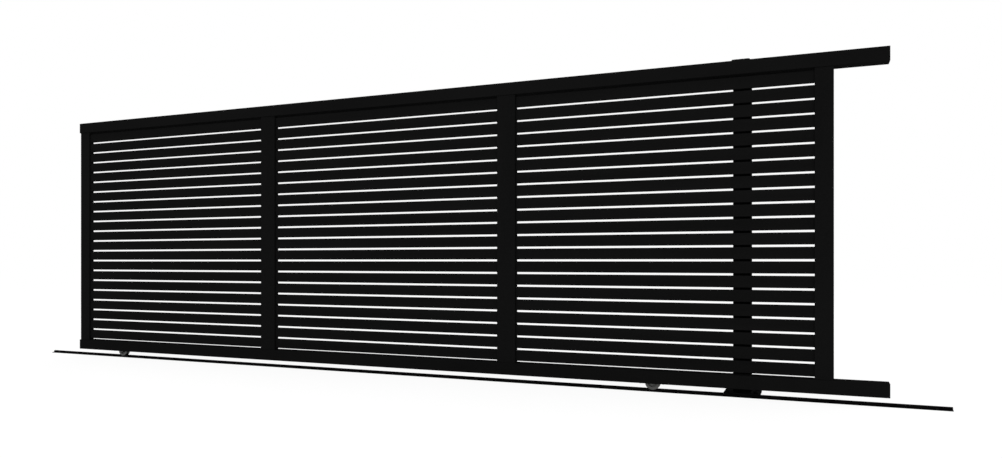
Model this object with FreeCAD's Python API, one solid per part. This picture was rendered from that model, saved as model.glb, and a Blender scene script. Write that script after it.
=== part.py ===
import FreeCAD, Part
import math
import os

# A sliding driveway gate: a slatted aluminium leaf that rolls on a ground track and is held upright by a
# guide post. The origin is the centre of the post's base plate, on the ground. +X runs along the gate
# towards its tail, +Y from the leaf towards the post, +Z up. All sizes are in millimetres.

# Leaf frame
BAY_WIDTH = 1471.0
FRAME_HEIGHT = 1558.0
TOP_RAIL_HEIGHT = 65.5
BOTTOM_RAIL_HEIGHT = 64.0
RAIL_DEPTH = 76.0
RAIL_WALL = 2.5
RAIL_CORNER = 2.0
STILE_WIDTH = 81.0
MULLION_WIDTH = 104.0
STILE_DEPTH = 36.0
STILE_WALL = 2.0
STILE_CORNER = 1.5
STILE_SETBACK = 5.0
TAIL_LENGTH = 223.0
REAR_STILE_FROM_POST = 326.5
CAP_THICKNESS = 5.0
CAP_SPIGOT_LENGTH = 16.0

# Slats
SLAT_COUNT = 21
SLAT_HEIGHT = 57.2
SLAT_THICKNESS = 15.0
SLAT_WALL = 1.4
SLAT_EDGE_RADIUS = 2.0
SLAT_INSERTION = 12.0
LOWEST_GAP_EXTRA = 1.5

# Guide channel in the top rail, with the rollers that run in it
CHANNEL_WIDTH = 36.0
CHANNEL_DEPTH = 38.0
ROLLER_HEIGHT = 24.0
ROLLER_DROP = 4.0
ROLLER_SPACING = 42.0
ROLLER_EDGE = 2.0
PIN_DIAMETER = 10.0
PIN_COLLAR_DIAMETER = 16.0
PIN_HEAD_DIAMETER = 18.0
PIN_HEAD_HEIGHT = 3.0

# Guide post
POST_SIZE = 83.0
POST_WALL = 3.0
POST_CORNER = 3.0
BASE_PLATE_SIZE = 170.0
BASE_PLATE_THICKNESS = 8.0
BASE_PLATE_CORNER = 8.0
BASE_HOLE_DIAMETER = 14.0
BASE_HOLE_EDGE = 20.0
GUIDE_PLATE_THICKNESS = 5.0
GUIDE_PLATE_NOSE = 11.0
GUIDE_PLATE_CORNER = 10.0

# Ground track
TRACK_BASE_WIDTH = 46.0
TRACK_BASE_THICKNESS = 3.5
TRACK_HEIGHT = 15.5
RIB_RADIUS = 9.5
TRACK_BEYOND_NOSE = 297.0
TRACK_BEYOND_TAIL = 245.0
TRACK_HOLE_DIAMETER = 6.5
TRACK_HOLE_PAIRS = 12
TRACK_HOLE_FROM_END = 60.0

# Wheels and their carriers
WHEEL_DIAMETER = 74.0
WHEEL_WIDTH = 28.0
WHEEL_CHAMFER = 1.5
GROOVE_DEPTH = 8.0
RIM_THICKNESS = 6.0
WEB_THICKNESS = 12.0
HUB_DIAMETER = 26.0
AXLE_DIAMETER = 12.0
AXLE_CHAMFER = 1.0
AXLE_ABOVE_RAIL_UNDERSIDE = 2.9
EAR_THICKNESS = 5.0
EAR_RADIUS = 12.0
CARRIER_PLATE_THICKNESS = 4.0
CARRIER_PLATE_MARGIN = 27.0
CLOSING_WHEEL_FROM_NOSE = 374.0
REAR_WHEEL_FROM_STILE = 826.0

# Clearances
SEAT_CLEARANCE = 0.3
SHAFT_CLEARANCE = 0.05
ROLLER_CLEARANCE = 0.5
GUIDE_CLEARANCE = 6.5
WHEEL_SIDE_CLEARANCE = 6.0
HUB_CLEARANCE = 0.5
PLATE_TO_TRACK = 1.0

Vector = FreeCAD.Vector
ALONG_X = FreeCAD.Rotation(Vector(1, 1, 1), 120)


def rounded_outline(u_low, u_high, v_low, v_high, radius):
    """A closed rectangle in the XY plane with round corners."""
    cosine = math.sqrt(0.5)
    edges = []
    corners = (
        (u_high - radius, v_high - radius, 1, 1),
        (u_low + radius, v_high - radius, -1, 1),
        (u_low + radius, v_low + radius, -1, -1),
        (u_high - radius, v_low + radius, 1, -1),
    )
    previous = Vector(u_high, v_low + radius, 0)
    for centre_u, centre_v, side_u, side_v in corners:
        on_u = Vector(centre_u + side_u * radius, centre_v, 0)
        on_v = Vector(centre_u, centre_v + side_v * radius, 0)
        middle = Vector(centre_u + side_u * radius * cosine, centre_v + side_v * radius * cosine, 0)
        first, last = (on_u, on_v) if side_u == side_v else (on_v, on_u)
        edges.append(Part.LineSegment(previous, first).toShape())
        edges.append(Part.Arc(first, middle, last).toShape())
        previous = last
    return Part.Wire(edges)


def rounded_face(u_low, u_high, v_low, v_high, radius):
    return Part.Face(rounded_outline(u_low, u_high, v_low, v_high, radius))


def plain_face(u_low, u_high, v_low, v_high):
    return Part.makePlane(u_high - u_low, v_high - v_low, Vector(u_low, v_low, 0))


def tube_face(width, height, wall, radius):
    """A hollow rectangular section centred on the origin, with round outer corners."""
    outer = rounded_face(-width / 2, width / 2, -height / 2, height / 2, radius)
    inner = plain_face(-width / 2 + wall, width / 2 - wall, -height / 2 + wall, height / 2 - wall)
    return outer.cut(inner)


def run_along_x(face, x_start, x_end, y, z):
    """Extrudes a section, drawn with Y across and Z up, from x_start to x_end."""
    bar = face.extrude(Vector(0, 0, x_end - x_start))
    bar.Placement = FreeCAD.Placement(Vector(x_start, y, z), ALONG_X)
    return bar


def box(x_low, x_high, y_low, y_high, z_low, z_high):
    return Part.makeBox(x_high - x_low, y_high - y_low, z_high - z_low, Vector(x_low, y_low, z_low))


def turned(outline, centre, axis):
    """Turns an outline of (radius, height) points and arcs about an axis through the centre."""
    solid = Part.Face(outline).revolve(Vector(0, 0, 0), Vector(0, 0, 1), 360)
    turn = FreeCAD.Rotation(Vector(0, 0, 1), axis)
    solid.Placement = FreeCAD.Placement(centre, turn)
    return solid


def stepped_outline(points):
    """A closed outline in the XZ plane through (radius, height) points."""
    corners = [Vector(radius, 0, height) for radius, height in points]
    return Part.makePolygon(corners + corners[:1])


def save(name, *solids):
    shape = solids[0] if len(solids) == 1 else Part.makeCompound(list(solids))
    shape.exportStep(f"parts/{name}.step")


os.makedirs("parts", exist_ok=True)

# Places along the gate, across it and up
rear_stile_x = REAR_STILE_FROM_POST
bay_pitch = BAY_WIDTH + MULLION_WIDTH
right_mullion_x = rear_stile_x - bay_pitch
left_mullion_x = right_mullion_x - bay_pitch
closing_stile_x = left_mullion_x - BAY_WIDTH - STILE_WIDTH
rail_start_x = closing_stile_x
rail_end_x = rear_stile_x + STILE_WIDTH + TAIL_LENGTH
closing_wheel_x = closing_stile_x + CLOSING_WHEEL_FROM_NOSE
rear_wheel_x = rear_stile_x + STILE_WIDTH - REAR_WHEEL_FROM_STILE
track_start_x = rail_start_x - TRACK_BEYOND_NOSE
track_end_x = rail_end_x + CAP_THICKNESS + TRACK_BEYOND_TAIL

leaf_y = -(BASE_PLATE_SIZE / 2 + PLATE_TO_TRACK + TRACK_BASE_WIDTH / 2)
stile_y = leaf_y - RAIL_DEPTH / 2 + STILE_SETBACK + STILE_DEPTH / 2

rolling_radius = WHEEL_DIAMETER / 2 - GROOVE_DEPTH
axle_z = TRACK_HEIGHT + SEAT_CLEARANCE + rolling_radius
leaf_bottom_z = axle_z - AXLE_ABOVE_RAIL_UNDERSIDE
leaf_top_z = leaf_bottom_z + FRAME_HEIGHT
stile_bottom_z = leaf_bottom_z + BOTTOM_RAIL_HEIGHT
stile_top_z = leaf_top_z - TOP_RAIL_HEIGHT
bottom_rail_z = leaf_bottom_z + BOTTOM_RAIL_HEIGHT / 2
top_rail_z = leaf_top_z - TOP_RAIL_HEIGHT / 2
guide_plate_z = leaf_top_z + GUIDE_CLEARANCE

# Ground track: a flat base with a half-round rib, screwed down through pairs of holes beside the rib
rib_z = TRACK_HEIGHT - RIB_RADIUS
half_base = TRACK_BASE_WIDTH / 2
track_corners = [
    Vector(-RIB_RADIUS, rib_z, 0),
    Vector(-RIB_RADIUS, TRACK_BASE_THICKNESS, 0),
    Vector(-half_base, TRACK_BASE_THICKNESS, 0),
    Vector(-half_base, 0, 0),
    Vector(half_base, 0, 0),
    Vector(half_base, TRACK_BASE_THICKNESS, 0),
    Vector(RIB_RADIUS, TRACK_BASE_THICKNESS, 0),
    Vector(RIB_RADIUS, rib_z, 0),
]
rib_arc = Part.Arc(track_corners[-1], Vector(0, TRACK_HEIGHT, 0), track_corners[0]).toShape()
track_outline = Part.Wire(Part.makePolygon(track_corners).Edges + [rib_arc])
track = run_along_x(Part.Face(track_outline), track_start_x, track_end_x, leaf_y, 0)
hole_pitch = (track_end_x - track_start_x - 2 * TRACK_HOLE_FROM_END) / (TRACK_HOLE_PAIRS - 1)
hole_offset = (RIB_RADIUS + half_base) / 2
track_holes = []
for pair in range(TRACK_HOLE_PAIRS):
    hole_x = track_start_x + TRACK_HOLE_FROM_END + pair * hole_pitch
    for side in (-1, 1):
        foot = Vector(hole_x, leaf_y + side * hole_offset, 0)
        track_holes.append(Part.makeCylinder(TRACK_HOLE_DIAMETER / 2, TRACK_BASE_THICKNESS, foot))
save("ground_track", track.cut(track_holes))

# Guide post: a square tube on a drilled base plate
half_plate = BASE_PLATE_SIZE / 2
base_face = rounded_face(-half_plate, half_plate, -half_plate, half_plate, BASE_PLATE_CORNER)
base_plate = base_face.extrude(Vector(0, 0, BASE_PLATE_THICKNESS))
base_hole_offset = half_plate - BASE_HOLE_EDGE
base_holes = []
for side_x in (-1, 1):
    for side_y in (-1, 1):
        foot = Vector(side_x * base_hole_offset, side_y * base_hole_offset, 0)
        base_holes.append(Part.makeCylinder(BASE_HOLE_DIAMETER / 2, BASE_PLATE_THICKNESS, foot))
save("post_base_plate", base_plate.cut(base_holes))
post = tube_face(POST_SIZE, POST_SIZE, POST_WALL, POST_CORNER)
post = post.extrude(Vector(0, 0, guide_plate_z - BASE_PLATE_THICKNESS))
post.translate(Vector(0, 0, BASE_PLATE_THICKNESS))
save("guide_post", post)

# Guide plate: it closes the post and reaches over the top rail, with a pin and a roller at each side
half_post = POST_SIZE / 2
plate_face = rounded_face(-half_post, half_post, leaf_y - GUIDE_PLATE_NOSE, half_post, GUIDE_PLATE_CORNER)
guide_plate = plate_face.extrude(Vector(0, 0, GUIDE_PLATE_THICKNESS))
guide_plate.translate(Vector(0, 0, guide_plate_z))
pin_bore = PIN_DIAMETER / 2 + SHAFT_CLEARANCE
roller_radius = CHANNEL_WIDTH / 2 - ROLLER_CLEARANCE
roller_top = -GUIDE_CLEARANCE - ROLLER_DROP
roller_bottom = roller_top - ROLLER_HEIGHT
pin_outline = stepped_outline([
    (0, GUIDE_PLATE_THICKNESS),
    (PIN_DIAMETER / 2, GUIDE_PLATE_THICKNESS),
    (PIN_DIAMETER / 2, 0),
    (PIN_COLLAR_DIAMETER / 2, 0),
    (PIN_COLLAR_DIAMETER / 2, roller_top + SEAT_CLEARANCE),
    (PIN_DIAMETER / 2, roller_top + SEAT_CLEARANCE),
    (PIN_DIAMETER / 2, roller_bottom - SEAT_CLEARANCE),
    (PIN_HEAD_DIAMETER / 2, roller_bottom - SEAT_CLEARANCE),
    (PIN_HEAD_DIAMETER / 2, roller_bottom - SEAT_CLEARANCE - PIN_HEAD_HEIGHT),
    (0, roller_bottom - SEAT_CLEARANCE - PIN_HEAD_HEIGHT),
])
roller_outline = stepped_outline([
    (pin_bore, roller_top),
    (roller_radius - ROLLER_EDGE, roller_top),
    (roller_radius, roller_top - ROLLER_EDGE),
    (roller_radius, roller_bottom + ROLLER_EDGE),
    (roller_radius - ROLLER_EDGE, roller_bottom),
    (pin_bore, roller_bottom),
])
for name, side in (("left", -1), ("right", 1)):
    seat = Vector(side * ROLLER_SPACING / 2, leaf_y, guide_plate_z)
    guide_plate = guide_plate.cut(Part.makeCylinder(pin_bore, GUIDE_PLATE_THICKNESS, seat))
    save(f"roller_pin_{name}", turned(pin_outline, seat, Vector(0, 0, 1)))
    save(f"guide_roller_{name}", turned(roller_outline, seat, Vector(0, 0, 1)))
save("guide_plate", guide_plate)

# Rails: hollow extrusions, the top one with a guide channel and the bottom one with a slot for each wheel
half_depth = RAIL_DEPTH / 2
inner_depth = half_depth - RAIL_WALL
half_top = TOP_RAIL_HEIGHT / 2
half_bottom = BOTTOM_RAIL_HEIGHT / 2


def rail_faces(half_height):
    """A rail's outline and the outline of its hollow, both centred on the origin."""
    inner_height = half_height - RAIL_WALL
    outline = rounded_face(-half_depth, half_depth, -half_height, half_height, RAIL_CORNER)
    return outline, plain_face(-inner_depth, inner_depth, -inner_height, inner_height)


top_face, top_hollow = rail_faces(half_top)
bottom_face, bottom_hollow = rail_faces(half_bottom)
channel_floor = half_top - CHANNEL_DEPTH
half_channel = CHANNEL_WIDTH / 2
half_lining = half_channel + RAIL_WALL
channel = plain_face(-half_channel, half_channel, channel_floor, half_top)
lining = plain_face(-half_lining, half_lining, channel_floor - RAIL_WALL, half_top)
top_section = top_face.cut(top_hollow.cut(lining)).cut(channel)
save("top_rail", run_along_x(top_section, rail_start_x, rail_end_x, leaf_y, top_rail_z))

ear_inner = WHEEL_WIDTH / 2 + WHEEL_SIDE_CLEARANCE
ear_outer = ear_inner + EAR_THICKNESS
half_wheel_slot = WHEEL_DIAMETER / 2 + WHEEL_SIDE_CLEARANCE
half_ear_slot = ear_outer + SEAT_CLEARANCE
bottom_section = bottom_face.cut(bottom_hollow)
bottom_rail = run_along_x(bottom_section, rail_start_x, rail_end_x, leaf_y, bottom_rail_z)
for wheel_x in (closing_wheel_x, rear_wheel_x):
    bottom_rail = bottom_rail.cut(box(
        wheel_x - half_wheel_slot, wheel_x + half_wheel_slot,
        leaf_y - half_ear_slot, leaf_y + half_ear_slot,
        leaf_bottom_z, leaf_bottom_z + RAIL_WALL))
save("bottom_rail", bottom_rail)

# End caps: moulded plates that cover the rail ends, with a spigot that plugs into the hollow
spigot_edge = inner_depth - SEAT_CLEARANCE
spigot_inset = RAIL_WALL + SEAT_CLEARANCE
for rail, rail_face, rail_z, half_height, ceiling in (
    ("top", top_face, top_rail_z, half_top, channel_floor),
    ("bottom", bottom_face, bottom_rail_z, half_bottom, half_bottom),
):
    spigot_face = plain_face(-spigot_edge, spigot_edge, spigot_inset - half_height, ceiling - spigot_inset)
    nose_plate = run_along_x(rail_face, rail_start_x - CAP_THICKNESS, rail_start_x, leaf_y, rail_z)
    nose_spigot = run_along_x(spigot_face, rail_start_x, rail_start_x + CAP_SPIGOT_LENGTH, leaf_y, rail_z)
    save(f"{rail}_rail_cap_closing", nose_plate.fuse(nose_spigot))
    tail_plate = run_along_x(rail_face, rail_end_x, rail_end_x + CAP_THICKNESS, leaf_y, rail_z)
    tail_spigot = run_along_x(spigot_face, rail_end_x - CAP_SPIGOT_LENGTH, rail_end_x, leaf_y, rail_z)
    save(f"{rail}_rail_cap_tail", tail_plate.fuse(tail_spigot))

# Uprights: tubes between the rails, their side walls punched with a slot for the end of each slat
slat_space = stile_top_z - stile_bottom_z - LOWEST_GAP_EXTRA
slat_gap = (slat_space - SLAT_COUNT * SLAT_HEIGHT) / (SLAT_COUNT + 1)
slat_pitch = SLAT_HEIGHT + slat_gap
first_slat_z = stile_bottom_z + LOWEST_GAP_EXTRA + slat_gap + SLAT_HEIGHT / 2
half_slot_depth = SLAT_THICKNESS / 2 + SEAT_CLEARANCE
half_slot_height = SLAT_HEIGHT / 2 + SEAT_CLEARANCE


def upright(x_start, width, punched_walls):
    tube = tube_face(width, STILE_DEPTH, STILE_WALL, STILE_CORNER)
    tube = tube.extrude(Vector(0, 0, stile_top_z - stile_bottom_z))
    tube.translate(Vector(x_start + width / 2, stile_y, stile_bottom_z))
    slots = []
    for wall_x in punched_walls:
        for row in range(SLAT_COUNT):
            slot_z = first_slat_z + row * slat_pitch
            slots.append(box(
                wall_x, wall_x + STILE_WALL,
                stile_y - half_slot_depth, stile_y + half_slot_depth,
                slot_z - half_slot_height, slot_z + half_slot_height))
    return tube.cut(slots)


closing_stile_wall_x = closing_stile_x + STILE_WIDTH - STILE_WALL
save("closing_stile", upright(closing_stile_x, STILE_WIDTH, [closing_stile_wall_x]))
for name, mullion_x in (("left", left_mullion_x), ("right", right_mullion_x)):
    far_wall_x = mullion_x + MULLION_WIDTH - STILE_WALL
    save(f"mullion_{name}", upright(mullion_x, MULLION_WIDTH, [mullion_x, far_wall_x]))
save("rear_stile", upright(rear_stile_x, STILE_WIDTH, [rear_stile_x]))

# Slats: hollow blades that pass through the punched slots into the uprights
slat_reach = STILE_WALL + SLAT_INSERTION
slat_face = tube_face(SLAT_THICKNESS, SLAT_HEIGHT, SLAT_WALL, SLAT_EDGE_RADIUS)
for name, bay_x in (
    ("left", closing_stile_x + STILE_WIDTH),
    ("middle", left_mullion_x + MULLION_WIDTH),
    ("right", right_mullion_x + MULLION_WIDTH),
):
    slat = run_along_x(slat_face, bay_x - slat_reach, bay_x + BAY_WIDTH + slat_reach, stile_y, first_slat_z)
    rows = [slat.translated(Vector(0, 0, row * slat_pitch)) for row in range(SLAT_COUNT)]
    save(f"slats_{name}_bay", *rows)

# Wheels: grooved steel wheels that run on the rib, each on an axle between the ears of its carrier
wheel_radius = WHEEL_DIAMETER / 2
groove_radius = RIB_RADIUS + SEAT_CLEARANCE
groove_half_width = math.sqrt(groove_radius ** 2 - (groove_radius - GROOVE_DEPTH) ** 2)
rim_inner = rolling_radius - RIM_THICKNESS
half_hub = ear_inner - HUB_CLEARANCE
half_width = WHEEL_WIDTH / 2
half_web = WEB_THICKNESS / 2
axle_radius = AXLE_DIAMETER / 2
axle_bore = axle_radius + SHAFT_CLEARANCE
wheel_side = [
    (axle_bore, half_hub),
    (HUB_DIAMETER / 2, half_hub),
    (HUB_DIAMETER / 2, half_web),
    (rim_inner, half_web),
    (rim_inner, half_width),
    (wheel_radius - WHEEL_CHAMFER, half_width),
    (wheel_radius, half_width - WHEEL_CHAMFER),
    (wheel_radius, groove_half_width),
]
wheel_points = [Vector(radius, 0, -height) for radius, height in reversed(wheel_side)]
wheel_points += [Vector(radius, 0, height) for radius, height in wheel_side]
groove_arc = Part.Arc(wheel_points[-1], Vector(rolling_radius, 0, 0), wheel_points[0]).toShape()
half_count = len(wheel_side)
bore_line = [wheel_points[half_count - 1], wheel_points[half_count]]
wheel_edges = Part.makePolygon(wheel_points[:half_count]).Edges
wheel_edges += Part.makePolygon(bore_line).Edges
wheel_edges += Part.makePolygon(wheel_points[half_count:]).Edges
wheel_outline = Part.Wire(wheel_edges + [groove_arc])
axle_outline = stepped_outline([
    (0, -ear_outer),
    (axle_radius - AXLE_CHAMFER, -ear_outer),
    (axle_radius, -ear_outer + AXLE_CHAMFER),
    (axle_radius, ear_outer - AXLE_CHAMFER),
    (axle_radius - AXLE_CHAMFER, ear_outer),
    (0, ear_outer),
])


def wheel_carrier(wheel_x):
    """A plate inside the rail, open for the wheel, with two round ears that hang through the slot."""
    plate_z = leaf_bottom_z + RAIL_WALL
    plate_top_z = plate_z + CARRIER_PLATE_THICKNESS
    half_length = half_wheel_slot + CARRIER_PLATE_MARGIN
    half_plate_width = half_depth - RAIL_WALL - SEAT_CLEARANCE
    carrier = box(
        wheel_x - half_length, wheel_x + half_length,
        leaf_y - half_plate_width, leaf_y + half_plate_width,
        plate_z, plate_top_z)
    carrier = carrier.cut(box(
        wheel_x - half_wheel_slot, wheel_x + half_wheel_slot,
        leaf_y - ear_inner, leaf_y + ear_inner,
        plate_z, plate_top_z))
    ear_low_z = min(axle_z, plate_z)
    ear_high_z = max(axle_z, plate_top_z)
    for ear_y in (leaf_y - ear_outer, leaf_y + ear_inner):
        centre = Vector(wheel_x, ear_y, axle_z)
        web = box(
            wheel_x - EAR_RADIUS, wheel_x + EAR_RADIUS,
            ear_y, ear_y + EAR_THICKNESS,
            ear_low_z, ear_high_z)
        eye = Part.makeCylinder(EAR_RADIUS, EAR_THICKNESS, centre, Vector(0, 1, 0))
        bore = Part.makeCylinder(axle_bore, EAR_THICKNESS, centre, Vector(0, 1, 0))
        carrier = carrier.fuse(web.fuse(eye)).cut(bore)
    return carrier.removeSplitter()


for name, wheel_x in (("left", closing_wheel_x), ("right", rear_wheel_x)):
    axle_centre = Vector(wheel_x, leaf_y, axle_z)
    save(f"wheel_{name}", turned(wheel_outline, axle_centre, Vector(0, 1, 0)))
    save(f"axle_{name}", turned(axle_outline, axle_centre, Vector(0, 1, 0)))
    save(f"wheel_carrier_{name}", wheel_carrier(wheel_x))
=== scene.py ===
import math

import bmesh
import bpy
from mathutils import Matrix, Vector


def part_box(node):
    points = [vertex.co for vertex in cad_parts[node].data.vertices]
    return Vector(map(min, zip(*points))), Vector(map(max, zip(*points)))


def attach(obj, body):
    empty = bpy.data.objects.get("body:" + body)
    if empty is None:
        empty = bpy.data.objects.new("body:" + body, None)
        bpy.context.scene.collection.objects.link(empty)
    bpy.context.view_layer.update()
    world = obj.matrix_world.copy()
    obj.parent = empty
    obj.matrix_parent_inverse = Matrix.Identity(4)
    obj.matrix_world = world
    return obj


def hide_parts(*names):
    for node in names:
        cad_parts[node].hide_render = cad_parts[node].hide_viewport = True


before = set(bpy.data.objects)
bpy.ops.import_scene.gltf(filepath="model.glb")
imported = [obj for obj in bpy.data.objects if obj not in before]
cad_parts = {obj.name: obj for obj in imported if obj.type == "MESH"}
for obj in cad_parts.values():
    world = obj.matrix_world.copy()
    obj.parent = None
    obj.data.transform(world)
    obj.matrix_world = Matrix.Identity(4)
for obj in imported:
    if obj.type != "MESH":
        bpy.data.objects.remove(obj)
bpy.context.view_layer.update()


# The ground track is a rolled steel strip with a half-round rib, painted black and laid on the concrete.
# The wheels polish a narrow line along the crown of the rib, and dust greys the flat strips beside it.
TRACK_BLACK = (0.0022, 0.0022, 0.0023, 1.0)
TRACK_DUSTY = (0.0042, 0.0041, 0.0039, 1.0)
TRACK_POLISHED = (0.0120, 0.0120, 0.0125, 1.0)
POLISH_EDGE_BELOW_CROWN = 0.0016
POLISH_FULL_BELOW_CROWN = 0.0004
track_low, track_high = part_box("ground_track")


def new_finish(name):
    """A material with only its surface shader and its output, and the object's own coordinates."""
    finish = bpy.data.materials.new(name)
    finish.use_nodes = True
    nodes = finish.node_tree.nodes
    coordinates = nodes.new("ShaderNodeTexCoord")
    return finish, nodes, finish.node_tree.links, nodes["Principled BSDF"], coordinates.outputs["Object"]


def add_noise(nodes, links, place, scale, detail):
    noise = nodes.new("ShaderNodeTexNoise")
    noise.inputs["Scale"].default_value = scale
    noise.inputs["Detail"].default_value = detail
    links.new(place, noise.inputs["Vector"])
    return noise.outputs["Fac"]


def add_ramp(nodes, links, value, low, high):
    """Spreads the part of a value between low and high over the whole range from 0 to 1."""
    ramp = nodes.new("ShaderNodeMapRange")
    ramp.inputs["From Min"].default_value = low
    ramp.inputs["From Max"].default_value = high
    links.new(value, ramp.inputs["Value"])
    return ramp.outputs["Result"]


def add_span(nodes, links, value, low, high):
    """Turns a value from 0 to 1 into one from low to high."""
    span = nodes.new("ShaderNodeMapRange")
    span.inputs["To Min"].default_value = low
    span.inputs["To Max"].default_value = high
    links.new(value, span.inputs["Value"])
    return span.outputs["Result"]


def add_blend(nodes, links, share, first, second):
    """Mixes two colours by a share. Each is a colour or the output of another blend."""
    blend = nodes.new("ShaderNodeMix")
    blend.data_type = "RGBA"
    links.new(share, blend.inputs["Factor"])
    for socket, colour in (("A", first), ("B", second)):
        target = next(s for s in blend.inputs if s.name == socket and s.type == "RGBA")
        if isinstance(colour, tuple):
            target.default_value = colour
        else:
            links.new(colour, target)
    return next(s for s in blend.outputs if s.type == "RGBA")


def add_relief(nodes, links, shader, height, depth, strength):
    bump = nodes.new("ShaderNodeBump")
    bump.inputs["Distance"].default_value = depth
    bump.inputs["Strength"].default_value = strength
    links.new(height, bump.inputs["Height"])
    links.new(bump.outputs["Normal"], shader.inputs["Normal"])


def add_height(nodes, links, place):
    split = nodes.new("ShaderNodeSeparateXYZ")
    links.new(place, split.inputs["Vector"])
    return split.outputs["Z"]


def coat(node_name, finish):
    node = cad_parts[node_name]
    node.data.materials.clear()
    node.data.materials.append(finish)


track_paint, nodes, links, shader, place = new_finish("track_paint")
shader.inputs["Specular IOR Level"].default_value = 0.0
patches = add_noise(nodes, links, place, scale=9.0, detail=5.0)
settled = add_ramp(nodes, links, patches, low=0.42, high=0.66)
dusty = add_blend(nodes, links, settled, TRACK_BLACK, TRACK_DUSTY)
polish_edge = track_high.z - POLISH_EDGE_BELOW_CROWN
polish_full = track_high.z - POLISH_FULL_BELOW_CROWN
crown = add_ramp(nodes, links, add_height(nodes, links, place), low=polish_edge, high=polish_full)
links.new(add_blend(nodes, links, crown, dusty, TRACK_POLISHED), shader.inputs["Base Color"])
links.new(add_span(nodes, links, crown, low=0.62, high=0.38), shader.inputs["Roughness"])
grit = add_noise(nodes, links, place, scale=700.0, detail=3.0)
add_relief(nodes, links, shader, grit, depth=0.00004, strength=0.35)
coat("ground_track", track_paint)


# The track screws are blackened steel, with low round heads and a hexagon socket.
# A pair, one each side of the rib, holds the track down at every pair of holes.
SCREW_HEAD_RADIUS = 0.0054
SCREW_HEAD_HEIGHT = 0.0018
SCREW_SHANK_RADIUS = 0.0030
SCREW_SHANK_LENGTH = 0.0030
SCREW_SOCKET_RADIUS = 0.0026
SCREW_SOCKET_DEPTH = 0.0014
SCREW_EDGE = 0.0007
SCREW_PAIRS = 12
SCREW_FROM_END = 0.060
SCREW_OFFSET = 0.01625
TRACK_STRIP_TOP = 0.0035
BLACKENED_STEEL = (0.0150, 0.0150, 0.0160, 1.0)
BLACKENED_WORN = (0.0260, 0.0260, 0.0270, 1.0)
ROUND_SIDES = 24
SIDE_TURN = 360 / ROUND_SIDES
HEXAGON_TURN = 60
FACING = 0.99
NEAR = 0.00001


def begin(name):
    """Names the piece that was just added and opens it for shaping."""
    piece = bpy.context.object
    piece.name = name
    piece.data.name = name
    bpy.ops.object.mode_set(mode="EDIT")
    return piece


def begin_disc(name, radius, height):
    """A round blank that stands on the origin, opened for shaping."""
    bpy.ops.object.select_all(action="DESELECT")
    bpy.ops.mesh.primitive_cylinder_add(
        vertices=ROUND_SIDES, radius=radius, depth=height, location=(0, 0, height / 2))
    return begin(name)


def choose(kind, test):
    """Selects what passes the test, of a face's middle and normal, an edge's two ends or a vertex's place."""
    bpy.ops.mesh.select_mode(type=kind)
    bpy.ops.mesh.select_all(action="DESELECT")
    data = bpy.context.edit_object.data
    shape = bmesh.from_edit_mesh(data)
    if kind == "FACE":
        for face in shape.faces:
            face.select_set(test(face.calc_center_median(), face.normal))
    elif kind == "EDGE":
        for edge in shape.edges:
            edge.select_set(test(edge.verts[0].co, edge.verts[1].co))
    else:
        for vertex in shape.verts:
            vertex.select_set(test(vertex.co))
    shape.select_flush_mode()
    bmesh.update_edit_mesh(data)


def in_upper_half(a, b):
    return a.z > 0 and b.z > 0


def facing_up(middle, normal):
    return normal.z > FACING


def facing_up_on_axis(middle, normal):
    return normal.z > FACING and middle.to_2d().length < NEAR


def hexagon_share(turn):
    """How far out a hexagon reaches at a turn from one of its corners, as a share of its corner radius."""
    half = HEXAGON_TURN / 2
    return math.cos(math.radians(half)) / math.cos(math.radians(half - turn))


def at_turn(vertex, turn):
    """Whether a vertex stands at this turn past one of the six corners of a hexagon."""
    found = math.degrees(math.atan2(vertex.x, vertex.y)) % HEXAGON_TURN
    return min(abs(found - turn), abs(found - HEXAGON_TURN - turn)) < SIDE_TURN / 2


def round_to_hexagon(height, radius):
    """Pulls the round outline at a height and within a radius in to a hexagon."""
    def on_outline(v):
        return v.z > height - NEAR and v.to_2d().length < radius + NEAR

    for side in (1, 2, 3):
        turn = side * SIDE_TURN
        share = hexagon_share(turn)
        choose("VERT", lambda v: on_outline(v) and at_turn(v, turn))
        bpy.ops.transform.resize(value=(share, share, 1), center_override=(0, 0, 0))


def push(distance, narrow=1.0):
    """Extrudes the selected face along Z and then narrows it."""
    bpy.ops.mesh.extrude_region_move(TRANSFORM_OT_translate={"value": (0, 0, distance)})
    if narrow != 1.0:
        bpy.ops.transform.resize(value=(narrow, narrow, 1))


def end(piece, smooth_angle=30):
    """Closes a shaped piece, with its place moved into its mesh."""
    bpy.ops.mesh.select_all(action="SELECT")
    bpy.ops.mesh.normals_make_consistent(inside=False)
    bpy.ops.object.mode_set(mode="OBJECT")
    bpy.ops.object.shade_smooth_by_angle(angle=math.radians(smooth_angle))
    bpy.ops.object.transform_apply(location=True, rotation=True, scale=True)


def copy_to(pattern, name, offset, body, finish):
    """A copy of a shaped piece, with a mesh of its own, moved by offset and fixed to a body."""
    copy = pattern.copy()
    copy.data = pattern.data.copy()
    copy.name = name
    copy.data.name = name
    bpy.context.scene.collection.objects.link(copy)
    bpy.ops.object.select_all(action="DESELECT")
    copy.select_set(True)
    bpy.context.view_layer.objects.active = copy
    bpy.ops.transform.translate(value=offset)
    bpy.ops.object.transform_apply(location=True, rotation=True, scale=True)
    copy.data.materials.clear()
    copy.data.materials.append(finish)
    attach(copy, body)
    return copy


def drop_pattern(pattern):
    bpy.data.objects.remove(pattern, do_unlink=True)


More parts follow.
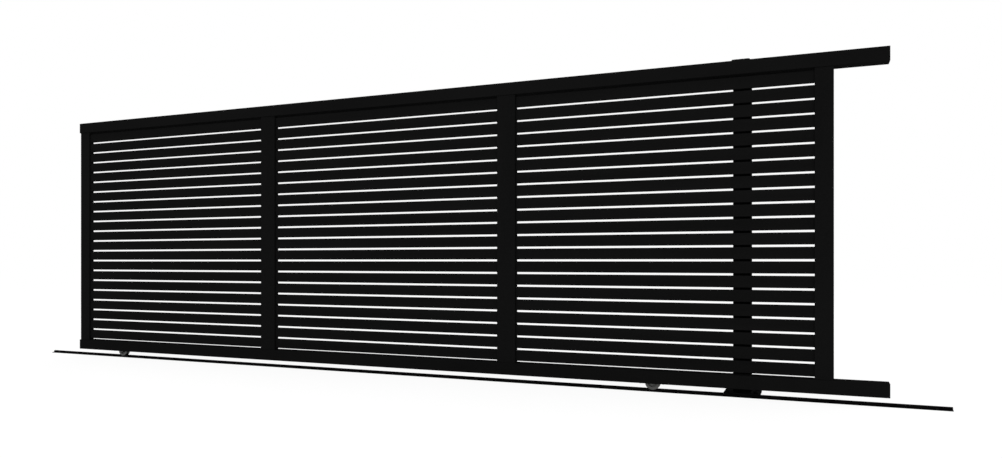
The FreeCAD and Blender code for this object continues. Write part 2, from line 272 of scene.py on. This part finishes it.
blackened_steel, nodes, links, shader, place = new_finish("blackened_steel")
shader.inputs["Metallic"].default_value = 1.0
wear = add_noise(nodes, links, place, scale=260.0, detail=4.0)
worn = add_ramp(nodes, links, wear, low=0.45, high=0.75)
links.new(add_blend(nodes, links, worn, BLACKENED_STEEL, BLACKENED_WORN), shader.inputs["Base Color"])
links.new(add_span(nodes, links, wear, low=0.38, high=0.58), shader.inputs["Roughness"])
add_relief(nodes, links, shader, wear, depth=0.00005, strength=0.3)

socket_screw = begin_disc("socket_screw", SCREW_HEAD_RADIUS, SCREW_HEAD_HEIGHT)
choose("EDGE", in_upper_half)
bpy.ops.mesh.bevel(offset=SCREW_EDGE, segments=3)
choose("FACE", facing_up)
bpy.ops.mesh.inset(thickness=SCREW_HEAD_RADIUS - SCREW_EDGE - SCREW_SOCKET_RADIUS)
round_to_hexagon(SCREW_HEAD_HEIGHT / 2, SCREW_SOCKET_RADIUS)
choose("FACE", facing_up_on_axis)
push(-SCREW_SOCKET_DEPTH)
choose("FACE", lambda middle, normal: normal.z < -FACING)
bpy.ops.mesh.inset(thickness=SCREW_HEAD_RADIUS - SCREW_SHANK_RADIUS)
push(-SCREW_SHANK_LENGTH)
end(socket_screw)
track_middle_y = (track_low.y + track_high.y) / 2
screw_pitch = (track_high.x - track_low.x - 2 * SCREW_FROM_END) / (SCREW_PAIRS - 1)
for pair in range(SCREW_PAIRS):
    screw_x = track_low.x + SCREW_FROM_END + pair * screw_pitch
    for side, word in ((-1, "front"), (1, "back")):
        name = f"track_screw_{word}_{pair + 1:02d}"
        seat = (screw_x, track_middle_y + side * SCREW_OFFSET, TRACK_STRIP_TOP)
        copy_to(socket_screw, name, seat, "ground", blackened_steel)


# The base plate is cut from thick steel plate, drilled at its corners and painted black with the post.
# Its paint is duller than the leaf's coat and painted lighter, a painted fill light for the shade under the
# leaf; random patches of dust lie on it near the ground.
# Both plate colours are lifted as painted light, so the plate reads brighter where the leaf shades it.
PLATE_LIFTED_BLACK = (0.0062, 0.0062, 0.0062, 1.0)
PLATE_LIFTED_DUSTY = (0.0100, 0.0099, 0.0096, 1.0)
base_low, base_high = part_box("post_base_plate")

plate_paint, nodes, links, shader, place = new_finish("plate_paint")
shader.inputs["Specular IOR Level"].default_value = 0.0
patches = add_noise(nodes, links, place, scale=22.0, detail=6.0)
settled = add_ramp(nodes, links, patches, low=0.44, high=0.70)
links.new(add_blend(nodes, links, settled, PLATE_LIFTED_BLACK, PLATE_LIFTED_DUSTY), shader.inputs["Base Color"])
links.new(add_span(nodes, links, settled, low=0.50, high=0.72), shader.inputs["Roughness"])
grit = add_noise(nodes, links, place, scale=520.0, detail=3.0)
add_relief(nodes, links, shader, grit, depth=0.00005, strength=0.35)
coat("post_base_plate", plate_paint)


# Four anchor studs come up out of the footing through the base plate, each with a washer and a nut.
# They were painted over with the plate. A little of the thread shows above the nut.
WASHER_RADIUS = 0.0120
WASHER_HEIGHT = 0.0025
WASHER_EDGE = 0.0005
NUT_CORNER_RADIUS = 0.01097
NUT_HEIGHT = 0.0100
NUT_RIM = 0.0004
NUT_CROWN_RADIUS = 0.0092
NUT_CORNER_DROP = 0.0008
NUT_SIDE_DROP = 0.0002
STUD_RADIUS = 0.0060
STUD_THREADS = 2
THREAD_PITCH = 0.00175
THREAD_ROOT = 0.86
ANCHOR_OFFSET = 0.065


def corners():
    """The words and the signs of X and Y for each corner of a square round the post."""
    for side_x, word_x in ((-1, "left"), (1, "right")):
        for side_y, word_y in ((-1, "front"), (1, "back")):
            yield f"{word_x}_{word_y}", side_x, side_y


anchor = begin_disc("anchor_bolt", WASHER_RADIUS, WASHER_HEIGHT)
choose("EDGE", in_upper_half)
bpy.ops.mesh.bevel(offset=WASHER_EDGE, segments=2)
choose("FACE", facing_up)
bpy.ops.mesh.inset(thickness=WASHER_RADIUS - WASHER_EDGE - NUT_CORNER_RADIUS)
round_to_hexagon(WASHER_HEIGHT / 2, NUT_CORNER_RADIUS)
choose("FACE", facing_up_on_axis)
push(NUT_HEIGHT)
bpy.ops.mesh.inset(thickness=NUT_RIM)
bpy.ops.transform.tosphere(value=1.0, center_override=(0, 0, WASHER_HEIGHT + NUT_HEIGHT))
crown_found = next(v.co.to_2d().length for v in bmesh.from_edit_mesh(anchor.data).verts if v.select)
crown_share = NUT_CROWN_RADIUS / crown_found
bpy.ops.transform.resize(value=(crown_share, crown_share, 1), center_override=(0, 0, 0))
nut_top = WASHER_HEIGHT / 2 + NUT_HEIGHT
for turn, drop in ((0, NUT_CORNER_DROP), (SIDE_TURN, NUT_SIDE_DROP), (3 * SIDE_TURN, NUT_SIDE_DROP)):
    reach = NUT_CORNER_RADIUS * hexagon_share(turn) - NUT_RIM / 2
    choose("VERT", lambda v: v.z > nut_top - NEAR and v.to_2d().length > reach and at_turn(v, turn))
    bpy.ops.transform.translate(value=(0, 0, -drop))
choose("FACE", facing_up_on_axis)
bpy.ops.mesh.inset(thickness=NUT_CROWN_RADIUS - STUD_RADIUS)
for thread in range(STUD_THREADS):
    push(THREAD_PITCH / 2, THREAD_ROOT)
    push(THREAD_PITCH / 2, 1 / THREAD_ROOT)
push(THREAD_PITCH / 2, THREAD_ROOT)
end(anchor)
for words, side_x, side_y in corners():
    seat = (side_x * ANCHOR_OFFSET, side_y * ANCHOR_OFFSET, base_high.z)
    copy_to(anchor, f"anchor_bolt_{words}", seat, "ground", plate_paint)
drop_pattern(anchor)


# The guide post is a square steel tube, welded to its base plate and coated black like the leaf.
# The coat is a satin powder coat, even all over, with a fine grain whose crests are painted a little lighter,
# a painted highlight for the glint the grain would catch.
COAT_BLACK = (0.0033, 0.0033, 0.0033, 1.0)
COAT_LIGHT = (0.0043, 0.0043, 0.0043, 1.0)
COAT_CREST_HIGHLIGHT = (0.0072, 0.0072, 0.0072, 1.0)
post_low, post_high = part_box("guide_post")


def powder_coat(name, stretch, smooth, rough):
    """A satin black powder coat. Its slow change of depth runs along the profile by the stretch."""
    finish, nodes, links, shader, place = new_finish(name)
    shader.inputs["Specular IOR Level"].default_value = 0.0
    along = nodes.new("ShaderNodeMapping")
    along.inputs["Scale"].default_value = stretch
    links.new(place, along.inputs["Vector"])
    clouds = add_noise(nodes, links, along.outputs["Vector"], scale=4.0, detail=3.0)
    depth = add_ramp(nodes, links, clouds, low=0.35, high=0.68)
    tone = add_blend(nodes, links, depth, COAT_BLACK, COAT_LIGHT)
    grain = add_noise(nodes, links, place, scale=850.0, detail=2.0)
    # The grain's crests get a lighter colour: a painted highlight on the grain, not a colour of the coat.
    crest_highlight = add_ramp(nodes, links, grain, low=0.46, high=0.74)
    links.new(add_blend(nodes, links, crest_highlight, tone, COAT_CREST_HIGHLIGHT), shader.inputs["Base Color"])
    links.new(add_span(nodes, links, clouds, low=smooth, high=rough), shader.inputs["Roughness"])
    add_relief(nodes, links, shader, grain, depth=0.00012, strength=0.8)
    return finish


coat("guide_post", powder_coat("post_coat", stretch=(1.0, 1.0, 0.3), smooth=0.46, rough=0.60))


# The weld round the post's foot is a hand-laid bead, painted over.
# It is slightly uneven, and hollow across like a fillet.
WELD_LEG = 0.0055
WELD_EDGE = 0.0006
WELD_CORNER = 0.0075
WELD_UNEVEN = 0.0004
WELD_LUMP = 0.004
WELD_RIPPLES = 31
post_size = post_high.x - post_low.x
weld_middle = post_size / 2 + WELD_LEG / 2


def reach_of(vertex):
    return max(abs(vertex.x), abs(vertex.y))


def on_outer_top(a, b):
    return in_upper_half(a, b) and min(reach_of(a), reach_of(b)) > weld_middle


bpy.ops.object.select_all(action="DESELECT")
bpy.ops.mesh.primitive_plane_add(size=post_size + 2 * WELD_LEG, location=(0, 0, base_high.z))
weld = begin("post_weld")
choose("VERT", lambda v: True)
bpy.ops.mesh.bevel(offset=WELD_CORNER, segments=4, affect="VERTICES")
choose("FACE", lambda middle, normal: True)
bpy.ops.mesh.inset(thickness=WELD_LEG)
bpy.ops.mesh.delete(type="FACE")
choose("FACE", lambda middle, normal: True)
push(WELD_LEG)
choose("EDGE", on_outer_top)
bpy.ops.mesh.bevel(offset=WELD_LEG - WELD_EDGE, segments=4, profile=0.3)
choose("EDGE", lambda a, b: (a - b).length > post_size / 2)
bpy.ops.mesh.subdivide(number_cuts=WELD_RIPPLES)
choose("VERT", lambda v: v.z > NEAR and reach_of(v) > post_size / 2 + NEAR)
bpy.ops.object.vertex_group_assign_new()
end(weld, smooth_angle=60)
lumps = bpy.data.textures.new("weld_lumps", "CLOUDS")
lumps.noise_scale = WELD_LUMP
uneven = weld.modifiers.new("uneven", "DISPLACE")
uneven.texture = lumps
uneven.texture_coords = "LOCAL"
uneven.vertex_group = weld.vertex_groups[0].name
uneven.strength = 2 * WELD_UNEVEN
bpy.ops.object.modifier_apply(modifier=uneven.name)
bpy.ops.object.vertex_group_remove(all=True)
weld.data.materials.append(plate_paint)
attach(weld, "ground")


# The guide plate closes the top of the post and reaches over the top rail. It is laser-cut steel, painted.
# Four socket screws hold it to lugs inside the post.
PLATE_SCREW_OFFSET = 0.027
guide_low, guide_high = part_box("guide_plate")
coat("guide_plate", plate_paint)
for words, side_x, side_y in corners():
    seat = (side_x * PLATE_SCREW_OFFSET, side_y * PLATE_SCREW_OFFSET, guide_high.z)
    copy_to(socket_screw, f"guide_plate_screw_{words}", seat, "ground", blackened_steel)


# The roller pins are turned steel, zinc plated, and riveted over where they come up through the plate.
# The rollers on them are turned from black nylon, which keeps fine rings from the tool.
ZINC_DULL = (0.150, 0.153, 0.160, 1.0)
ZINC_BRIGHT = (0.270, 0.275, 0.285, 1.0)
NYLON_BLACK = (0.0100, 0.0100, 0.0105, 1.0)
NYLON_LIGHT = (0.0160, 0.0160, 0.0165, 1.0)
RIVET_RADIUS = 0.0075
RIVET_HEIGHT = 0.0014
RIVET_ROUND = 0.00126
RIVET_CROWN_INSET = 0.002625
RIVET_CROWN_RISE = 0.000168

zinc_plate, nodes, links, shader, place = new_finish("zinc_plate")
shader.inputs["Metallic"].default_value = 1.0
bloom = add_noise(nodes, links, place, scale=140.0, detail=5.0)
spread = add_ramp(nodes, links, bloom, low=0.35, high=0.70)
links.new(add_blend(nodes, links, spread, ZINC_DULL, ZINC_BRIGHT), shader.inputs["Base Color"])
links.new(add_span(nodes, links, bloom, low=0.34, high=0.56), shader.inputs["Roughness"])
grain = add_noise(nodes, links, place, scale=900.0, detail=2.0)
add_relief(nodes, links, shader, grain, depth=0.00002, strength=0.3)


def turned_finish(name, centre, axis_turn, dark, light, rings, metallic, gloss, smooth, rough):
    """A turned surface, with fine tool rings round an axis through the centre."""
    finish, nodes, links, shader, place = new_finish(name)
    shader.inputs["Metallic"].default_value = metallic
    shader.inputs["Specular IOR Level"].default_value = gloss
    centred = nodes.new("ShaderNodeMapping")
    centred.vector_type = "TEXTURE"
    centred.inputs["Location"].default_value = centre
    centred.inputs["Rotation"].default_value = axis_turn
    links.new(place, centred.inputs["Vector"])
    tool_marks = nodes.new("ShaderNodeTexWave")
    tool_marks.wave_type = "RINGS"
    tool_marks.rings_direction = "Z"
    tool_marks.inputs["Scale"].default_value = rings
    tool_marks.inputs["Distortion"].default_value = 0.6
    tool_marks.inputs["Detail"].default_value = 1.0
    links.new(centred.outputs["Vector"], tool_marks.inputs["Vector"])
    clouds = add_noise(nodes, links, place, scale=90.0, detail=4.0)
    links.new(add_blend(nodes, links, clouds, dark, light), shader.inputs["Base Color"])
    links.new(add_span(nodes, links, clouds, low=smooth, high=rough), shader.inputs["Roughness"])
    add_relief(nodes, links, shader, tool_marks.outputs["Fac"], depth=0.00004, strength=0.35)
    return finish


rivet = begin_disc("pin_rivet", RIVET_RADIUS, RIVET_HEIGHT)
choose("EDGE", in_upper_half)
bpy.ops.mesh.bevel(offset=RIVET_ROUND, segments=4)
choose("FACE", facing_up)
bpy.ops.mesh.inset(thickness=RIVET_CROWN_INSET, depth=RIVET_CROWN_RISE)
end(rivet, smooth_angle=50)
for side in ("left", "right"):
    coat(f"roller_pin_{side}", zinc_plate)
    pin_low, pin_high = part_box(f"roller_pin_{side}")
    pin_x = (pin_low.x + pin_high.x) / 2
    pin_y = (pin_low.y + pin_high.y) / 2
    seat = (pin_x, pin_y, guide_high.z)
    copy_to(rivet, f"pin_rivet_{side}", seat, "ground", zinc_plate)
    nylon = turned_finish(
        f"turned_nylon_{side}", centre=(pin_x, pin_y, 0), axis_turn=(0, 0, 0),
        dark=NYLON_BLACK, light=NYLON_LIGHT, rings=320.0,
        metallic=0.0, gloss=0.2, smooth=0.40, rough=0.58)
    coat(f"guide_roller_{side}", nylon)
drop_pattern(rivet)


# The two rails are hollow aluminium extrusions with a satin black powder coat.
# The top one has a guide channel for the rollers, and both run on past the rear stile as the tail.
rail_coat = powder_coat("rail_coat", stretch=(0.25, 1.0, 1.0), smooth=0.46, rough=0.58)
coat("top_rail", rail_coat)
coat("bottom_rail", rail_coat)


# The four uprights are aluminium tubes screwed between the rails, their sides punched for the slats.
# They have the same coat as the rails, hung upright in the oven.
upright_coat = powder_coat("upright_coat", stretch=(1.0, 1.0, 0.25), smooth=0.46, rough=0.58)
for upright in ("closing_stile", "mullion_left", "mullion_right", "rear_stile"):
    coat(upright, upright_coat)


# The slats are thin hollow aluminium blades, coated before they are pushed into the uprights.
# Each came off the line by itself, so the depth of the coat changes a little from one to the next.
slat_coat = powder_coat("slat_coat", stretch=(0.12, 1.0, 4.0), smooth=0.46, rough=0.60)
for bay in ("left", "middle", "right"):
    coat(f"slats_{bay}_bay", slat_coat)


# The end caps are moulded black plastic plates that cover the rail ends and plug into the hollow.
# They have softened edges, a shallow panel in the outer face and a fine moulded grain.
CAP_PLATE = 0.005
CAP_CORNER = 0.002
CAP_EDGE = 0.0012
CAP_INSET = 0.0002
CAP_PANEL_MARGIN = 0.007
CAP_PANEL_DEPTH = 0.0006
CAP_SPIGOT_MARGIN = 0.0030
CAP_SPIGOT_LENGTH = 0.015
CAP_SPIGOT_EDGE = 0.001
TOP_CAP_SPIGOT_DROP = 0.038
CAP_BLACK = (0.0038, 0.0038, 0.0038, 1.0)
CAP_LIGHT = (0.0052, 0.0052, 0.0052, 1.0)

cap_plastic, nodes, links, shader, place = new_finish("cap_plastic")
shader.inputs["Specular IOR Level"].default_value = 0.0
clouds = add_noise(nodes, links, place, scale=60.0, detail=4.0)
links.new(add_blend(nodes, links, clouds, CAP_BLACK, CAP_LIGHT), shader.inputs["Base Color"])
links.new(add_span(nodes, links, clouds, low=0.48, high=0.66), shader.inputs["Roughness"])
leather = nodes.new("ShaderNodeTexVoronoi")
leather.inputs["Scale"].default_value = 900.0
links.new(place, leather.inputs["Vector"])
add_relief(nodes, links, shader, leather.outputs["Distance"], depth=0.00004, strength=0.4)


def draw_in(depth, height, margin):
    """Insets the selected end face and draws the new one in, which keeps its corners round."""
    bpy.ops.mesh.inset(thickness=CAP_INSET)
    across = (depth - 2 * margin) / (depth - 2 * CAP_INSET)
    upward = (height - 2 * margin) / (height - 2 * CAP_INSET)
    bpy.ops.transform.resize(value=(1, across, upward), center_override=(0, 0, 0))


def mould_cap(name, depth, height, spigot_drop):
    """A cap with the back of its plate at the origin, its panel towards +X and its spigot towards -X."""
    bpy.ops.object.select_all(action="DESELECT")
    bpy.ops.mesh.primitive_cube_add(
        size=1, location=(CAP_PLATE / 2, 0, 0), scale=(CAP_PLATE, depth, height))
    bpy.ops.object.transform_apply(location=True, rotation=True, scale=True)
    cap = begin(name)
    choose("EDGE", lambda a, b: abs(a.x - b.x) > CAP_PLATE / 2)
    bpy.ops.mesh.bevel(offset=CAP_CORNER, segments=3)
    choose("EDGE", lambda a, b: min(a.x, b.x) > CAP_PLATE - NEAR)
    bpy.ops.mesh.bevel(offset=CAP_EDGE, segments=3)
    choose("FACE", lambda middle, normal: normal.x > FACING)
    draw_in(depth - 2 * CAP_EDGE, height - 2 * CAP_EDGE, CAP_PANEL_MARGIN - CAP_EDGE)
    bpy.ops.mesh.inset(thickness=CAP_PANEL_DEPTH, depth=-CAP_PANEL_DEPTH)
    choose("FACE", lambda middle, normal: normal.x < -FACING)
    draw_in(depth, height, CAP_SPIGOT_MARGIN)
    bpy.ops.mesh.extrude_region_move(TRANSFORM_OT_translate={"value": (-CAP_SPIGOT_LENGTH, 0, 0)})
    spigot_side = depth / 2 - CAP_SPIGOT_MARGIN / 2
    spigot_top = height / 2 - CAP_SPIGOT_MARGIN / 2
    if spigot_drop:
        choose("VERT", lambda v: v.x < NEAR and abs(v.y) < spigot_side and 0 < v.z < spigot_top)
        bpy.ops.transform.translate(value=(0, 0, -spigot_drop))
    choose("FACE", lambda middle, normal: normal.x < -FACING and middle.x < -CAP_PLATE)
    bpy.ops.mesh.bevel(offset=CAP_SPIGOT_EDGE, segments=1)
    end(cap)
    return cap


def turn_over(pattern, axis):
    """Turns a shaped piece half round about an axis through the origin."""
    bpy.ops.object.select_all(action="DESELECT")
    pattern.select_set(True)
    bpy.context.view_layer.objects.active = pattern
    bpy.ops.object.mode_set(mode="EDIT")
    bpy.ops.mesh.select_all(action="SELECT")
    bpy.ops.transform.rotate(value=math.pi, orient_axis=axis, center_override=(0, 0, 0))
    bpy.ops.object.mode_set(mode="OBJECT")


for rail, spigot_drop in (("top", TOP_CAP_SPIGOT_DROP), ("bottom", 0.0)):
    rail_low, rail_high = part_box(f"{rail}_rail")
    rail_middle = (rail_low + rail_high) / 2
    rail_size = rail_high - rail_low
    cap = mould_cap(f"{rail}_cap", rail_size.y, rail_size.z, spigot_drop)
    for end_word, end_x in (("tail", rail_high.x), ("closing", rail_low.x)):
        seat = (end_x, rail_middle.y, rail_middle.z)
        node_name = f"{rail}_rail_cap_{end_word}"
        fitted = copy_to(cap, f"{node_name}_moulded", seat, "leaf", cap_plastic)
        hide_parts(node_name)
        turn_over(cap, "Z")
    drop_pattern(cap)


# Each wheel sits in a carrier of folded steel, zinc plated and dulled by the weather, on a plated axle.
# The carrier's plate lies in the bottom rail, and four socket screws come up through the rail into it.
CARRIER_DULL = (0.058, 0.058, 0.057, 1.0)
CARRIER_BRIGHT = (0.082, 0.082, 0.080, 1.0)
CARRIER_SCREW_FROM_END = 0.0135
CARRIER_SCREW_FROM_EDGE = 0.0095

carrier_zinc, nodes, links, shader, place = new_finish("carrier_zinc")
shader.inputs["Metallic"].default_value = 0.6
spangle = add_noise(nodes, links, place, scale=210.0, detail=5.0)
spread = add_ramp(nodes, links, spangle, low=0.34, high=0.68)
links.new(add_blend(nodes, links, spread, CARRIER_DULL, CARRIER_BRIGHT), shader.inputs["Base Color"])
links.new(add_span(nodes, links, spangle, low=0.48, high=0.66), shader.inputs["Roughness"])
grain = add_noise(nodes, links, place, scale=900.0, detail=2.0)
add_relief(nodes, links, shader, grain, depth=0.00003, strength=0.3)

turn_over(socket_screw, "X")
rail_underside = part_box("bottom_rail")[0].z
for side in ("left", "right"):
    coat(f"wheel_carrier_{side}", carrier_zinc)
    coat(f"axle_{side}", zinc_plate)
    carrier_low, carrier_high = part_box(f"wheel_carrier_{side}")
    for end_x, along, word_x in ((carrier_low.x, 1, "before"), (carrier_high.x, -1, "after")):
        for edge_y, across, word_y in ((carrier_low.y, 1, "front"), (carrier_high.y, -1, "back")):
            name = f"carrier_screw_{side}_{word_x}_{word_y}"
            seat_x = end_x + along * CARRIER_SCREW_FROM_END
            seat_y = edge_y + across * CARRIER_SCREW_FROM_EDGE
            seat = (seat_x, seat_y, rail_underside)
            copy_to(socket_screw, name, seat, "leaf", blackened_steel)
drop_pattern(socket_screw)


# The wheels are turned from steel bar, with a round groove that fits the rib, and left a dull dark grey.
# Fine tool rings run round the axle.
WHEEL_DARK = (0.054, 0.054, 0.0525, 1.0)
WHEEL_LIGHT = (0.082, 0.082, 0.0795, 1.0)
QUARTER_TURN = (math.pi / 2, 0, 0)
for side in ("left", "right"):
    wheel_low, wheel_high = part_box(f"wheel_{side}")
    wheel_steel = turned_finish(
        f"wheel_steel_{side}", centre=(wheel_low + wheel_high) / 2, axis_turn=QUARTER_TURN,
        dark=WHEEL_DARK, light=WHEEL_LIGHT, rings=260.0,
        metallic=0.6, gloss=0.5, smooth=0.42, rough=0.60)
    coat(f"wheel_{side}", wheel_steel)


# The gate stands on a plain white floor in soft, even studio light, with white all round.
# A wide soft lamp in front, one behind and one above give it form, and the floor keeps a faint shadow.
FLOOR_SIZE = 160.0
FLOOR_GLOW_SHARE = 0.85
SKY_LEVEL = 1.0
WHITE_LEVEL = 1.0
WHITE = (1.0, 1.0, 1.0, 1.0)
LAMPS_AIM = Vector((-1.9, 0.0, 0.8))


def seen_directly(nodes, links):
    """1 for rays that see the background directly, in a mirror or through glass, and 0 for the light."""
    path = nodes.new("ShaderNodeLightPath")
    either = nodes.new("ShaderNodeMath")
    either.operation = "MAXIMUM"
    links.new(path.outputs["Is Camera Ray"], either.inputs[0])
    links.new(path.outputs["Is Glossy Ray"], either.inputs[1])
    all_three = nodes.new("ShaderNodeMath")
    all_three.operation = "MAXIMUM"
    links.new(either.outputs[0], all_three.inputs[0])
    links.new(path.outputs["Is Transmission Ray"], all_three.inputs[1])
    return all_three.outputs[0]


def hang_softbox(name, place, width, height, power):
    lamp = bpy.data.lights.new(name, "AREA")
    lamp.shape = "RECTANGLE"
    lamp.size = width
    lamp.size_y = height
    lamp.energy = power
    stand = bpy.data.objects.new(name, lamp)
    stand.location = place
    stand.rotation_euler = (LAMPS_AIM - Vector(place)).to_track_quat("-Z", "Y").to_euler()
    bpy.context.scene.collection.objects.link(stand)


bpy.ops.object.select_all(action="DESELECT")
bpy.ops.mesh.primitive_plane_add(size=FLOOR_SIZE, location=(0, 0, 0))
floor = bpy.context.object
floor.name = "floor"
floor_white = bpy.data.materials.new("floor_white")
floor_white.use_nodes = True
nodes, links = floor_white.node_tree.nodes, floor_white.node_tree.links
nodes.remove(nodes["Principled BSDF"])
matt = nodes.new("ShaderNodeBsdfDiffuse")
matt.inputs["Color"].default_value = WHITE
glow = nodes.new("ShaderNodeEmission")
share = nodes.new("ShaderNodeMath")
share.operation = "MULTIPLY"
share.inputs[1].default_value = FLOOR_GLOW_SHARE
links.new(seen_directly(nodes, links), share.inputs[0])
mixed = nodes.new("ShaderNodeMixShader")
links.new(share.outputs[0], mixed.inputs["Fac"])
links.new(matt.outputs["BSDF"], mixed.inputs[1])
links.new(glow.outputs["Emission"], mixed.inputs[2])
links.new(mixed.outputs["Shader"], nodes["Material Output"].inputs["Surface"])
floor.data.materials.append(floor_white)

world = bpy.data.worlds.new("studio")
bpy.context.scene.world = world
world.use_nodes = True
nodes, links = world.node_tree.nodes, world.node_tree.links
sky = nodes["Background"]
sky.inputs["Color"].default_value = WHITE
sky.inputs["Strength"].default_value = SKY_LEVEL
white = nodes.new("ShaderNodeBackground")
white.inputs["Color"].default_value = WHITE
white.inputs["Strength"].default_value = WHITE_LEVEL
mixed = nodes.new("ShaderNodeMixShader")
links.new(seen_directly(nodes, links), mixed.inputs["Fac"])
links.new(sky.outputs["Background"], mixed.inputs[1])
links.new(white.outputs["Background"], mixed.inputs[2])
links.new(mixed.outputs["Shader"], nodes["World Output"].inputs["Surface"])

hang_softbox("front_softbox", place=(-2.6, -7.5, 5.0), width=9.0, height=4.0, power=220.0)
hang_softbox("back_softbox", place=(-1.2, 7.5, 5.0), width=9.0, height=4.0, power=140.0)
hang_softbox("top_softbox", place=(-1.9, 0.0, 7.0), width=9.0, height=5.0, power=90.0)


# The camera stands in front of the tail, level and a little under half the gate's height.
# It looks along the gate towards the closing end, framed for a picture 1002 by 458.
CAMERA_PLACE = (0.3239, -3.8980, 0.6478)
CAMERA_TURN = math.radians(22.405)
PICTURE_WIDTH = 1002
FOCAL_PIXELS = 759.2
HORIZON_BELOW_CENTRE = 32.2
SENSOR_WIDTH = 36.0
camera_data = bpy.data.cameras.new("camera")
camera_data.sensor_fit = "HORIZONTAL"
camera_data.sensor_width = SENSOR_WIDTH
camera_data.lens = FOCAL_PIXELS / PICTURE_WIDTH * SENSOR_WIDTH
camera_data.shift_y = HORIZON_BELOW_CENTRE / PICTURE_WIDTH
camera = bpy.data.objects.new("camera", camera_data)
camera.location = CAMERA_PLACE
camera.rotation_euler = (math.pi / 2, 0, CAMERA_TURN)
bpy.context.scene.collection.objects.link(camera)
bpy.context.scene.camera = camera
bpy.context.scene.view_settings.view_transform = "Standard"
